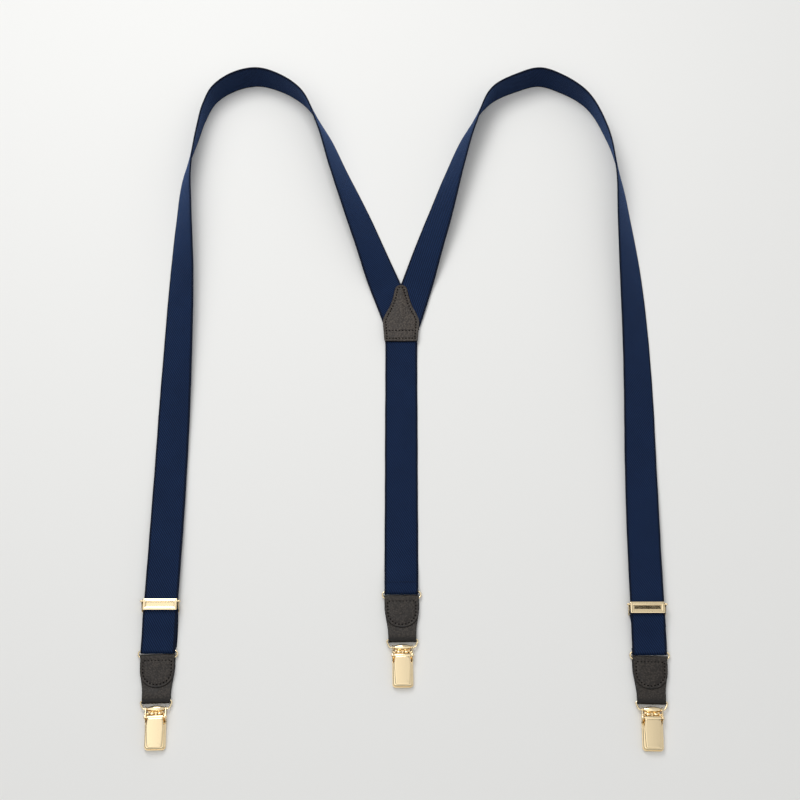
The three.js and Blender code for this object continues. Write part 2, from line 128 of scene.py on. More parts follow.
def noiseAt(tree, vector, scale, detail=3.0):
    node = tree.nodes.new("ShaderNodeTexNoise")
    setInputs(node, {"Scale": scale, "Detail": detail})
    tree.links.new(vector, node.inputs["Vector"])
    return node.outputs["Fac"]


def attribute(tree, name):
    node = tree.nodes.new("ShaderNodeAttribute")
    node.attribute_name = name
    return node


weave = {
    "yarn": 0.57,  # width of one warp yarn, mm
    "float": 2.8,  # length over which a yarn shows and dips once
    "shift": 0.933,  # how far each yarn's float lies past its neighbour's
    "dark": (0.0012, 0.0042, 0.0170),
    "light": (0.0130, 0.0375, 0.1130),
    "selvage": (0.0025, 0.0060, 0.0185),
    "edge": 11.3,
}


def webbingMaterial():
    # height = sin(pi * place across the yarn) * (0.5 + 0.5 cos(2 pi * place along its float))
    material, tree, shader = newMaterial("navy webbing")
    cloth = attribute(tree, "cloth")
    split = tree.nodes.new("ShaderNodeSeparateXYZ")
    tree.links.new(cloth.outputs["Vector"], split.inputs[0])
    across, along = split.outputs[0], split.outputs[1]
    yarns = calc(tree, "DIVIDE", across, weave["yarn"])
    number = calc(tree, "FLOOR", yarns)
    inYarn = calc(tree, "SUBTRACT", yarns, number)
    roundYarn = calc(tree, "SINE", calc(tree, "MULTIPLY", inYarn, math.pi))
    shifted = calc(tree, "MULTIPLY_ADD", number, -weave["shift"], along)
    wave = calc(tree, "COSINE", calc(tree, "MULTIPLY", shifted, 2 * math.pi / weave["float"]))
    rise = calc(tree, "MULTIPLY_ADD", wave, 0.5, 0.5)
    height = calc(tree, "MULTIPLY", calc(tree, "POWER", roundYarn, 0.6), rise)
    edge = smoothStep(tree, calc(tree, "ABSOLUTE", across), weave["edge"] - 0.5, weave["edge"])
    inside = calc(tree, "SUBTRACT", 1.0, edge)
    height = calc(tree, "MULTIPLY", height, inside)
    position = tree.nodes.new("ShaderNodeTexCoord").outputs["Object"]
    patches = noiseAt(tree, position, 55, 4)
    fuzz = noiseAt(tree, position, 2600, 2)
    amount = calc(tree, "MULTIPLY", height, calc(tree, "MULTIPLY_ADD", patches, 0.5, 0.75))
    colour = blendColour(tree, amount, weave["dark"], weave["light"])
    colour = blendColour(tree, edge, colour, weave["selvage"])
    tree.links.new(colour, shader.inputs["Base Color"])
    fine = bumpFrom(tree, fuzz, 0.00008, 0.5)
    tree.links.new(bumpFrom(tree, height, 0.00022, 0.8, fine), shader.inputs["Normal"])
    setInputs(shader, {"Roughness": 0.78, "Specular IOR Level": 0.12})
    setInputs(shader, {"Sheen Weight": 0.30, "Sheen Roughness": 0.35, "Sheen Tint": (0.16, 0.36, 0.95, 1)})
    return material


hide = {
    "low": (0.0125, 0.0092, 0.0070),
    "high": (0.052, 0.042, 0.034),
    # dark colour of the painted edges, also used for painted shade on the tabs
    "cut": (0.0035, 0.0026, 0.0022),  # painted edges
    "tabTone": 1.0,
    # the yoke is the tabs' hide painted 1.75 times lighter: painted light for the extra light the yoke
    # catches
    "yokePaintedLight": 1.75,
}


def leatherMaterial(name, tone):
    # pebbled hide: cells about 1.3 mm wide with finer ones between, cloudy colour, painted edges; the same
    # dark colour also paints shade on the tabs where the rim attribute carries it
    material, tree, shader = newMaterial(name)
    position = tree.nodes.new("ShaderNodeTexCoord").outputs["Object"]
    heights = []
    for scale in (780, 1900):
        cells = tree.nodes.new("ShaderNodeTexVoronoi")
        cells.feature = "SMOOTH_F1"
        setInputs(cells, {"Smoothness": 0.35, "Scale": scale})
        tree.links.new(position, cells.inputs["Vector"])
        heights.append(calc(tree, "SUBTRACT", 1.0, cells.outputs["Distance"]))
    pebbles = calc(tree, "MULTIPLY_ADD", heights[1], 0.35, heights[0])
    clouds = noiseAt(tree, position, 150, 5)
    mixed = calc(tree, "MULTIPLY_ADD", calc(tree, "SUBTRACT", pebbles, 0.85), 1.6, clouds)
    low = tuple(tone * c for c in hide["low"])
    high = tuple(tone * c for c in hide["high"])
    colour = blendColour(tree, mixed, low, high)
    # rim mixes in the edge colour: real painted edges, and painted shade on the tabs
    rim = attribute(tree, "rim").outputs["Fac"]
    colour = blendColour(tree, smoothStep(tree, rim, 0.3, 0.8), colour, hide["cut"])
    tree.links.new(colour, shader.inputs["Base Color"])
    tree.links.new(bumpFrom(tree, pebbles, 0.0004, 0.6), shader.inputs["Normal"])
    rough = calc(tree, "MULTIPLY_ADD", clouds, 0.25, 0.36)
    tree.links.new(rough, shader.inputs["Roughness"])
    shader.inputs["Specular IOR Level"].default_value = 0.32
    return material


def goldMaterial():
    material, tree, shader = newMaterial("pale gold")
    position = tree.nodes.new("ShaderNodeTexCoord").outputs["Object"]
    smear = noiseAt(tree, position, 240, 4)
    scratches = noiseAt(tree, position, 1500, 6)
    rough = calc(tree, "MULTIPLY_ADD", smear, 0.10, 0.05)
    tree.links.new(rough, shader.inputs["Roughness"])
    tree.links.new(bumpFrom(tree, scratches, 0.00001, 0.25), shader.inputs["Normal"])
    setInputs(shader, {"Base Color": (0.97, 0.79, 0.50, 1), "Metallic": 1})
    return material


def plainMaterial(name, colour, roughness, specular=0.4):
    material, _, shader = newMaterial(name)
    values = {"Base Color": (*colour, 1), "Roughness": roughness, "Specular IOR Level": specular}
    setInputs(shader, values)
    return material


webbing = webbingMaterial()
tabLeather = leatherMaterial("tab leather", hide["tabTone"])
yokeLeather = leatherMaterial("yoke leather", hide["yokePaintedLight"])
gold = goldMaterial()
padPlastic = plainMaterial("grip pad", (0.62, 0.58, 0.50), 0.45)
darkThread = plainMaterial("dark thread", (0.0035, 0.0028, 0.0025), 0.8, 0.08)
navyThread = plainMaterial("navy thread", (0.006, 0.011, 0.030), 0.75, 0.2)
print("materials made")

# below, a part is (points in mm, faces, {attribute: values})


def gridFaces(rows, around, ringClosed=False, caps=True):
    # quads over rows of points, each row a closed loop
    row = np.arange(rows if ringClosed else rows - 1)[:, None] * around
    col = np.arange(around)[None, :]
    nextRow = (row + around) % (rows * around)
    nextCol = (col + 1) % around
    quads = np.stack([row + col, row + nextCol, nextRow + nextCol, nextRow + col], axis=-1)
    faces = quads.reshape(-1, 4).tolist()
    if caps and not ringClosed:
        faces.append(list(range(around))[::-1])
        faces.append(list(range((rows - 1) * around, rows * around)))
    return faces


def loft(grid, ringClosed=False, caps=True, **attributes):
    rows, around = grid.shape[:2]
    flat = {name: np.asarray(value).reshape(rows * around, -1) for name, value in attributes.items()}
    return grid.reshape(-1, 3), gridFaces(rows, around, ringClosed, caps), flat


def outward(points, faces):
    # the faces turned so that the volume inside, summed over each face's fan of triangles, is positive
    fans = np.array([(f[0], f[j], f[j + 1]) for f in faces for j in range(1, len(f) - 1)])
    a, b, c = (points[fans[:, k]] for k in range(3))
    return faces if np.sum(a * np.cross(b, c)) > 0 else [face[::-1] for face in faces]


def build(name, parts, material, body=None, stands=(), weld=False, sharp=42):
    # one object from several closed shells
    points, faces, values, base = [], [], {}, 0
    for partPoints, partFaces, partValues in parts:
        turned = outward(partPoints, partFaces)
        points.append(partPoints)
        faces += [[base + k for k in face] for face in turned]
        for key, value in partValues.items():
            values.setdefault(key, []).append(value)
        base += len(partPoints)
    mesh = bpy.data.meshes.new(name)
    mesh.from_pydata((np.concatenate(points) * mm).tolist(), [], faces)
    for key, value in values.items():
        value = np.concatenate(value).astype(np.float32)
        if value.shape[1] == 1:
            layer = mesh.attributes.new(key, "FLOAT", "POINT")
            layer.data.foreach_set("value", value.ravel())
        else:
            layer = mesh.attributes.new(key, "FLOAT_VECTOR", "POINT")
            layer.data.foreach_set("vector", value.ravel())
    if weld:
        work = bmesh.new()
        work.from_mesh(mesh)
        bmesh.ops.remove_doubles(work, verts=work.verts, dist=1e-6)
        bmesh.ops.dissolve_degenerate(work, dist=1e-7, edges=work.edges)
        work.to_mesh(mesh)
        work.free()
    mesh.validate()
    mesh.shade_smooth()
    mesh.set_sharp_from_angle(angle=math.radians(sharp))
    mesh.materials.append(material)
    piece = bpy.data.objects.new(name, mesh)
    scene.collection.objects.link(piece)
    if stands:
        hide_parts(*stands)
    if body:
        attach(piece, body)
    return piece


def unit(vectors):
    return vectors / np.linalg.norm(vectors, axis=-1, keepdims=True)


def lengthAlong(points):
    return np.concatenate([[0], np.cumsum(np.linalg.norm(np.diff(points, axis=0), axis=1))])


def evenly(points, step):
    # the same polyline with points about one step apart
    points = np.asarray(points, float)
    at = lengthAlong(points)
    count = max(int(round(at[-1] / step)), 2)
    places = np.linspace(0, at[-1], count + 1)
    return np.stack([np.interp(places, at, points[:, k]) for k in range(points.shape[1])], axis=1)


def softened(points, rounds):
    # corners eased by averaging each point with its neighbours; the ends stay
    points = points.copy()
    for _ in range(rounds):
        points[1:-1] = (points[:-2] + 2 * points[1:-1] + points[2:]) / 4
    return points


def arc(centre, radius, start, stop, count):
    turn = np.radians(np.linspace(start, stop, count))
    return [(centre[0] + radius * math.cos(t), centre[1] + radius * math.sin(t)) for t in turn]


def smooth01(value, low, high):
    t = np.clip((value - low) / (high - low), 0, 1)
    return t * t * (3 - 2 * t)


# where things are, in mm; the same places as in the CAD
ends = {
    "left": {"x": -175.6, "y": -277.6, "turn": 1.7, "shorter": 1.0, "adjuster": 35.7},
    "right": {"x": 179.3, "y": -278.7, "turn": -1.4, "shorter": 1.5, "adjuster": 34.4},
    "rear": {"x": 0.4, "y": -233.0, "turn": 0.8, "shorter": 1.5, "adjuster": 0.0},
}
ring = {"half": 14.0, "bar": 2.4, "z": 2.2, "wire": 0.6, "clear": 0.25, "corner": 2.2}
bail = {"top": -35.4, "bottom": -41.4, "z": 2.6, "wire": 0.6}
leverPin = {"y": -48.0, "z": 5.2, "r": 0.6}
camPin = {"y": 2.4, "z": 7.4, "r": 0.45}
loopBar = {"y": -3.3, "z": 2.2, "clear": 0.2}
yokeSize = {"length": 50.4, "back": 1.1, "front": 1.4, "gap": 0.3}
strap = {"width": 25.0, "thick": 1.3, "split": -75.0, "foldEnd": 6.0, "endY": -12.0}
webFloor = yokeSize["back"] + yokeSize["gap"]
ringWrap = ring["wire"] + ring["clear"] + strap["thick"] / 2
loopWrap = ring["wire"] + loopBar["clear"] + strap["thick"] / 2


def atEnd(points, end, turnShare=1.0):
    # points given from a hanging end's ring centre, put into the row frame
    place = ends[end]
    turn = math.radians(place["turn"] * turnShare)
    moved = points.copy()
    moved[:, 0] = place["x"] + points[:, 0] * math.cos(turn) - points[:, 1] * math.sin(turn)
    moved[:, 1] = place["y"] + points[:, 0] * math.sin(turn) + points[:, 1] * math.cos(turn)
    return moved


def placed(part, end, turnShare=1.0):
    points, faces, values = part
    return atEnd(points, end, turnShare), faces, values


# edge of each shoulder strap that stays on the table: x, y and roll in degrees from flat
leftLay = [
    (14.6, -14, 0), (7.4, 6, 0), (0.3, 26.1, 0), (-11.9, 56.8, 21), (-27.5, 95, 36),
    (-44.5, 132.5, 53), (-61.4, 170.1, 69), (-84.7, 203.6, 86), (-101.8, 214.6, 90),
    (-121.3, 220, 93), (-140.3, 215.2, 93), (-156.5, 202.6, 91), (-164.6, 184.6, 89),
    (-169.8, 164.5, 85), (-180, 124.6, 69), (-183, 83.6, 55), (-185.1, 32.1, 36),
    (-186.1, -18.9, 24), (-186.9, -73.9, 12), (-187.1, -128.9, 3), (-187.2, -178.9, 0),
    (-188.1, -271.3, 0),
]
rightLay = [
    (-12.4, -14, 0), (-5.9, 6, 0), (-0.2, 26.1, 0), (8.3, 52.5, 17), (22.5, 92.3, 35),
    (37.2, 132, 53), (54, 170.7, 69), (78.6, 204.6, 89), (97.3, 214.2, 92), (116.7, 219.9, 93),
    (136, 213, 91), (153.2, 201.4, 87), (172.6, 164.4, 83), (182, 123.2, 74), (187.5, 81.3, 58),
    (191.9, 39.2, 43), (194.6, -13.9, 31), (195.2, -73.9, 20), (193.9, -138.9, 8),
    (192.6, -198.9, 1), (191.8, -272.4, 0),
]


def throughStations(stations, step):
    # cubic curve through the stations; slopes come from each one's neighbours
    stations = np.array(stations, float)
    at = lengthAlong(stations[:, :2])
    gaps = np.diff(at)
    slope = np.gradient(stations, at, axis=0)
    places = np.linspace(0, at[-1], int(at[-1] / step) + 1)
    i = np.clip(np.searchsorted(at, places) - 1, 0, len(gaps) - 1)
    h = gaps[i][:, None]
    t = ((places - at[i]) / gaps[i])[:, None]
    return (
        (2 * t**3 - 3 * t**2 + 1) * stations[i]
        + (t**3 - 2 * t**2 + t) * h * slope[i]
        + (3 * t**2 - 2 * t**3) * stations[i + 1]
        + (t**3 - t**2) * h * slope[i + 1]
    )


def liftOf(x, y, adjusterY):
    # how far what lies underneath lifts the web off the table
    overLoop = loopBar["z"] + ring["wire"] + loopBar["clear"] + strap["thick"] + 0.3
    overRing = ring["z"] + ring["wire"] + ring["clear"]
    inYoke = webFloor * (1 - smooth01(y, 22, 54))
    onLeg = overLoop * smooth01(-y, -strap["split"], -adjusterY - 7)
    onLeg = onLeg - (overLoop - overRing) * smooth01(-y, 9 - adjusterY, 24 - adjusterY)
    return np.where(np.abs(x) < 60, inYoke, np.where(y > strap["split"], 0, onLeg))


def webProfile():
    # cross-section of the webbing: flat middle, a fine groove inside each thick rounded selvage
    half, thick = strap["width"] / 2, strap["thick"] / 2
    a = np.array([0, 2.5, 5, 7.5, 9.4, 10.3, 10.8, 11.05, 11.3, 11.6, 11.9, 12.15, 12.33, 12.45, half])
    b = thick * np.sqrt(np.clip(1 - np.clip((a - 11.85) / 0.65, 0, 1) ** 2, 0, 1))
    b = b - 0.14 * np.exp(-(((a - 11.05) / 0.22) ** 2))
    top = np.stack([np.concatenate([-a[::-1], a[1:]]), np.concatenate([b[::-1], b[1:]])], axis=1)
    bottom = top[1:-1][::-1] * [1, -1]
    return np.concatenate([top, bottom])[::-1]


def webSheet(centres, across, mirror=1.0, start=0.0):
    # the webbing's profile carried along a line of centres; across points from edge to edge
    travel = unit(np.gradient(centres, axis=0))
    across = unit(across - np.sum(across * travel, axis=1, keepdims=True) * travel)
    normal = np.cross(travel, across)
    profile = webProfile()
    along = lengthAlong(centres) + start
    ripple = 1 + 0.003 * np.sin(along / 5.1) + 0.003 * np.sin(along / 13.7 + 1)
    a = profile[:, 0][None, :, None] * ripple[:, None, None]
    b = profile[:, 1][None, :, None]
    grid = centres[:, None] + a * across[:, None] + b * normal[:, None]
    cloth = np.zeros(grid.shape)
    cloth[..., 0] = profile[:, 0][None, :] * mirror
    cloth[..., 1] = along[:, None]
    return loft(grid, cloth=cloth)


def sidePath(points, x):
    # centres of a web whose path is given in the (y, z) side view
    return np.column_stack([np.full(len(points), x), points])


def shoulderStrap(side, lay, inside):
    place = ends[side]
    adjusterY = place["y"] + place["adjuster"]
    edge = throughStations(lay, 1.5)
    travel = unit(np.gradient(edge[:, :2], axis=0))
    roll = np.radians(np.clip(edge[:, 2], 0, None))[:, None]
    inwards = np.column_stack([-travel[:, 1], travel[:, 0], np.zeros(len(edge))]) * inside
    across = inwards * np.cos(roll) + np.array([0, 0, 1.0]) * np.sin(roll)
    base = liftOf(edge[:, 0], edge[:, 1], adjusterY) + strap["thick"] / 2 * np.abs(np.cos(roll[:, 0]))
    centres = np.column_stack([edge[:, :2], base]) + across * strap["width"] / 2
    # fold round the ring's upper bar
    bar = (place["y"] + ring["bar"], ring["z"])
    fold = [(bar[0] + 2, bar[1] + ringWrap)] + arc(bar, ringWrap, 90, 270, 17)
    fold.append((place["y"] + strap["foldEnd"], bar[1] - ringWrap))
    foldCentres = sidePath(evenly(fold, 0.4), centres[-1][0])
    allCentres = np.concatenate([centres, foldCentres])
    allAcross = np.concatenate([across, np.tile([float(inside), 0, 0], (len(foldCentres), 1))])
    sheet = webSheet(allCentres, allAcross, mirror=inside)
    stands = ("shoulder_strap_" + side, "strap_run_" + side, "strap_fold_" + side)
    piece = build("strap_webbing_" + side, [sheet], webbing, stands=stands)
    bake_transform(piece)
    return lengthAlong(allCentres)[-1]


def returnPly(side, inside, along):
    # the ply under the main one, from the ring back up to the adjuster's bar, folded round it
    place = ends[side]
    barY = place["y"] + place["adjuster"] + loopBar["y"]
    low = loopBar["z"] - loopWrap
    path = [(place["y"] + strap["foldEnd"], low), (barY, low)]
    path += arc((barY, loopBar["z"]), loopWrap, -90, 90, 15)
    path += [(barY - 5, loopBar["z"]), (barY - 10, loopBar["z"])]
    centres = sidePath(evenly(path, 0.5), place["x"])
    reach = (centres[:, 1] - place["y"]) / (barY - place["y"])
    centres[:, 0] += 0.9 * np.sin(np.clip(reach, 0, 1) * math.pi) ** 0.6
    across = np.tile([float(inside), 0, 0], (len(centres), 1))
    sheet = webSheet(centres, across, mirror=inside, start=along)
    stands = ("strap_return_" + side,)
    piece = build("return_ply_" + side, [sheet], webbing, stands=stands)
    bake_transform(piece)


def backStrap():
    place = ends["rear"]
    bar = (place["y"] + ring["bar"], ring["z"])
    half = strap["thick"] / 2
    path = [(strap["endY"], webFloor + half), (-27, webFloor + half), (-37, half + 0.5)]
    path += [(-45, half + 0.05), (bar[0] + 20, half + 0.05), (bar[0] + 14, 3 * half + 0.4)]
    path += [(bar[0] + 7, 3 * half + 0.6), (bar[0] + 2, bar[1] + ringWrap)]
    run = softened(evenly(path, 1.2), 6)
    fold = arc(bar, ringWrap, 90, 270, 17)
    fold += [(bar[0] + 6, bar[1] - ringWrap), (bar[0] + 13, bar[1] - ringWrap)]
    points = np.concatenate([run, evenly(fold, 0.4)])
    centres = sidePath(points, place["x"] / 2)
    across = np.tile([1.0, 0, 0], (len(centres), 1))
    sheet = webSheet(centres, across)
    build("back_strap_webbing", [sheet], webbing, "straps", ("back_strap",))
    return lengthAlong(centres)[-1]


strapLengths = {
    "left": shoulderStrap("left", leftLay, 1),
    "right": shoulderStrap("right", rightLay, -1),
}
returnPly("left", 1, strapLengths["left"])
returnPly("right", -1, strapLengths["right"])
strapLengths["rear"] = backStrap()
print("webbing made, lengths", {end: round(float(value)) for end, value in strapLengths.items()}, "mm")


def stitchParts(places, directions, length, radius):
    # a little rounded bar of thread at each place, sunk to its middle
    steps = np.linspace(-1, 1, 7)
    turns = np.linspace(0, 2 * math.pi, 6, endpoint=False)
    swell = radius * np.sqrt(np.clip(1.02 - steps**2, 0, 1))
    parts, up = [], np.array([0, 0, 1.0])
    for place, way in zip(places, unit(directions)):
        side = np.cross(up, way)
        grid = (
            place
            + (steps * length / 2)[:, None, None] * way
            + (swell[:, None] * np.cos(turns))[..., None] * side
            + (swell[:, None] * np.sin(turns))[..., None] * up
        )
        parts.append(loft(grid))
    return parts


def alongPath(points, pitch, closed=False):
    # places one pitch apart on a path, with the way the path runs there
    if closed:
        points = np.concatenate([points, points[:1]])
    at = lengthAlong(points)
    count = max(int(round(at[-1] / pitch)), 1)
    middle = (np.arange(count) + 0.5) * at[-1] / count
    places, ahead, behind = (
        np.stack([np.interp(middle + d, at, points[:, k]) for k in range(points.shape[1])], axis=1)
        for d in (0, 0.2, -0.2)
    )
    return places, ahead - behind


def distanceTo(points, line):
    # distance in the plane from each point to a polyline, and how far along it the nearest place is
    a, b = line[:-1], line[1:]
    d = b - a
    at = lengthAlong(line)[:-1]
    best = np.full(len(points), np.inf)
    where = np.zeros(len(points))
    for start, way, along in zip(a, d, at):
        t = np.clip((points - start) @ way / max(way @ way, 1e-12), 0, 1)
        gap = np.linalg.norm(points - (start + t[:, None] * way), axis=1)
        closer = gap < best
        best = np.where(closer, gap, best)
        where = np.where(closer, along + t * np.linalg.norm(way), where)
    return best, where


def sewnDip(points, line, pitch, depth, width):
    # the dip a row of stitches pulls into leather, deepest at each stitch's ends
    gap, where = distanceTo(points, line)
    pull = 0.7 + 0.3 * np.cos(2 * math.pi * where / pitch)
    return depth * pull * np.exp(-((gap / width) ** 2))


yoke = {
    "pitch": 2.55,
    "inset": 2.4,
    "crossRow": -15.9,  # the row across, above the one along the foot
    "edgeRound": 0.42,
    "crown": 0.55,
}


def yokeOutline(step=0.7):
    # half-widths of the bell from the tip down, mirrored
    tip, foot = yokeSize["length"] / 2, -yokeSize["length"] / 2
    rightHalf = [
        (0, tip), (1.6, tip - 0.15), (3.1, tip - 0.9), (4.3, tip - 2.2), (5.0, tip - 4.2),
        (5.5, tip - 7.2), (6.3, tip - 11), (7.3, tip - 14.8), (8.7, tip - 18.8), (10.3, tip - 22.3),
        (12.2, tip - 26), (13.6, tip - 29), (14.35, tip - 31.4), (14.45, tip - 33.5),
        (13.9, -14.5), (13.2, foot + 0.9), (12.8, foot + 0.25), (12.2, foot), (0, foot),
    ]
    right = softened(evenly(rightHalf, step), 3)
    left = right[1:-1][::-1] * [-1, 1]
    return np.concatenate([right, left])


def insetLoop(loop, distance):
    ahead, behind = np.roll(loop, -1, axis=0), np.roll(loop, 1, axis=0)
    way = unit(ahead - behind)
    normal = np.column_stack([way[:, 1], -way[:, 0]])
    area = np.sum(loop[:, 0] * ahead[:, 1] - ahead[:, 0] * loop[:, 1])
    return loop - normal * distance * (1 if area > 0 else -1)


def yokeSurface(xy):
    # height over the patch's flat top: crowned, with the step of the strap that lies uppermost
    x, y = xy[:, 0], xy[:, 1]
    crown = yoke["crown"] * (1 - (x / 14.5) ** 2)
    step = 0.32 * (1 - smooth01(x, 0.2, 3.6)) * smooth01(y, -10, 4)
    return crown + step - 0.2


def patchRows(outline, insets, heights, spine, inner=6):
    # rows from a rim inwards, then on to the spine down the middle
    rows = []
    for d, z in zip(insets, heights):
        rows.append(np.column_stack([insetLoop(outline, d), np.full(len(outline), z)]))
    last = rows[-1]
    target = np.column_stack([np.zeros(len(last)), np.clip(last[:, 1], *spine), last[:, 2]])
    for share in np.linspace(0, 1, inner + 1)[1:]:
        rows.append(last + (target - last) * share)
    return rows


def yokePatch(name, z0, z1, inset, shaped, node):
    outline = insetLoop(yokeOutline(), inset)
    r = yoke["edgeRound"]
    spine = (-yokeSize["length"] / 2 + 5, yokeSize["length"] / 2 - 5)
    turn = np.radians([0, 20, 40, 60, 80])
    further = list(np.arange(0.6, 3.7, 0.3))
    insets = list(r * (1 - np.cos(turn))) + further
    tops = list(z1 - r + r * np.sin(turn)) + [z1] * len(further)
    bottoms = list(z0 + r - r * np.sin(turn)) + [z0] * len(further)
    upper = patchRows(outline, insets, tops, spine)
    lower = patchRows(outline, insets, bottoms, spine, inner=2)[::-1]
    grid = np.stack(lower + upper)
    rim = np.zeros(grid.shape[:2])
    rim[len(lower) - 2 : len(lower) + 2] = 1
    if shaped:
        flat = grid[len(lower) :].reshape(-1, 3)
        sewing = insetLoop(yokeOutline(), yoke["inset"])
        sewing = np.concatenate([sewing, sewing[:1]])
        row = np.array([[-10.6, yoke["crossRow"]], [10.6, yoke["crossRow"]]])
        dip = np.maximum(
            sewnDip(flat[:, :2], sewing, yoke["pitch"], 0.34, 0.55),
            sewnDip(flat[:, :2], row, yoke["pitch"], 0.30, 0.55),
        )
        edge = smooth01(distanceTo(flat[:, :2], np.concatenate([outline, outline[:1]]))[0], 0, 2.0)
        flat[:, 2] += yokeSurface(flat[:, :2]) * edge - dip * edge
        grid[len(lower) :] = flat.reshape(grid[len(lower) :].shape)
    part = loft(grid, caps=False, rim=rim)
    build(name, [part], yokeLeather, "straps", (node,), weld=True, sharp=60)


yokeTop = webFloor + strap["thick"] + yokeSize["gap"]
yokePatch("yoke_front_leather", yokeTop, yokeTop + yokeSize["front"], 0.0, True, "yoke_front")
yokePatch("yoke_back_leather", 0.0, yokeSize["back"], 0.4, False, "yoke_back")


def yokeStitches():
    loop = insetLoop(yokeOutline(), yoke["inset"])
    places, ways = alongPath(loop, yoke["pitch"], closed=True)
    row = np.array([[-10.4, yoke["crossRow"]], [10.4, yoke["crossRow"]]])
    rowPlaces, rowWays = alongPath(row, yoke["pitch"])
    places, ways = np.concatenate([places, rowPlaces]), np.concatenate([ways, rowWays])
    heights = yokeTop + yokeSize["front"] + yokeSurface(places) - 0.16
    places3 = np.column_stack([places, heights])
    ways3 = np.column_stack([ways, np.zeros(len(ways))])
    upper = stitchParts(places3, ways3, 1.4, 0.58)
    build("yoke_stitching", upper, darkThread, "straps")
    under = np.column_stack([places, np.full(len(places), 0.12)])
    lower = stitchParts(under, ways3, 1.55, 0.2)
    build("yoke_back_stitching", lower, darkThread, "straps")


yokeStitches()
print("yoke made")

tab = {
    "thick": 1.2,
    "topHalf": 12.7,
    "endHalf": 10.2,
    "flapTip": -25.1,
    "flapRound": 11.5,
    "flapZ": 3.45,
    "round": 0.4,
    "inset": 2.1,
    "pitch": 2.5,
    "topRow": -5.3,
}


def tabHalf(y):
    return tab["topHalf"] + (tab["endHalf"] - tab["topHalf"]) * smooth01(-y, 8, 30)


def flapHalf(y):
    into = np.clip(tab["flapTip"] + tab["flapRound"] - y, 0, None) / tab["flapRound"]
    return np.maximum(12.3 * np.sqrt(np.clip(1 - into**2, 0, 1)), 0.3)


def flapStitchLine():
    # straight across under the ring, then down and round parallel to the flap's edge
    low = tab["flapTip"] + tab["inset"]
    y = low + np.linspace(0, 1, 60) ** 1.5 * (tab["topRow"] - low)
    into = np.clip(tab["flapTip"] + tab["flapRound"] - y, 0, None) / (tab["flapRound"] - tab["inset"])
    half = (12.3 - tab["inset"]) * np.sqrt(np.clip(1 - into**2, 0, 1))
    right = np.column_stack([half, y])
    left = right[::-1] * [-1, 1]
    return evenly(np.concatenate([left, right]), 0.6)


def tabPath(shorter):
    fold = bail["top"] + shorter
    wrapRing = ring["wire"] + ring["clear"] + tab["thick"] / 2
    wrapBail = bail["wire"] + ring["clear"] + tab["thick"] / 2
    bar = -ring["bar"]
    flap = [(tab["flapTip"] + 0.02, tab["flapZ"])]
    flap += [(tab["flapTip"] + d, tab["flapZ"]) for d in (0.08, 0.2, 0.4, 0.7, 1.1, 1.6)]
    flap += [(y, tab["flapZ"]) for y in np.arange(tab["flapTip"] + 2.2, bar - 3, 0.55)]
    top = [(bar - 2.6, tab["flapZ"] + 0.06), (bar - 1.2, ring["z"] + wrapRing - 0.08)]
    over = arc((bar, ring["z"]), wrapRing, 90, -90, 19)
    back = [(y, ring["z"] - wrapRing) for y in np.arange(bar - 1.5, fold, -1.4)]
    round2 = arc((fold, bail["z"]), wrapBail, -90, -180, 9)
    turn = np.radians(np.linspace(178, 92, 22))
    round2 += [(fold + 3.4 + 5.0 * math.cos(t), bail["z"] + wrapBail * math.sin(t)) for t in turn]
    middle = [(fold + 4.2, bail["z"] + wrapBail - 0.03), (fold + 9, 2.75), (-14, 2.05), (-6, 2.05)]
    middle = softened(evenly(middle, 1.0), 4)
    return np.array(flap + top + over + back + round2), middle, len(flap) + len(top)


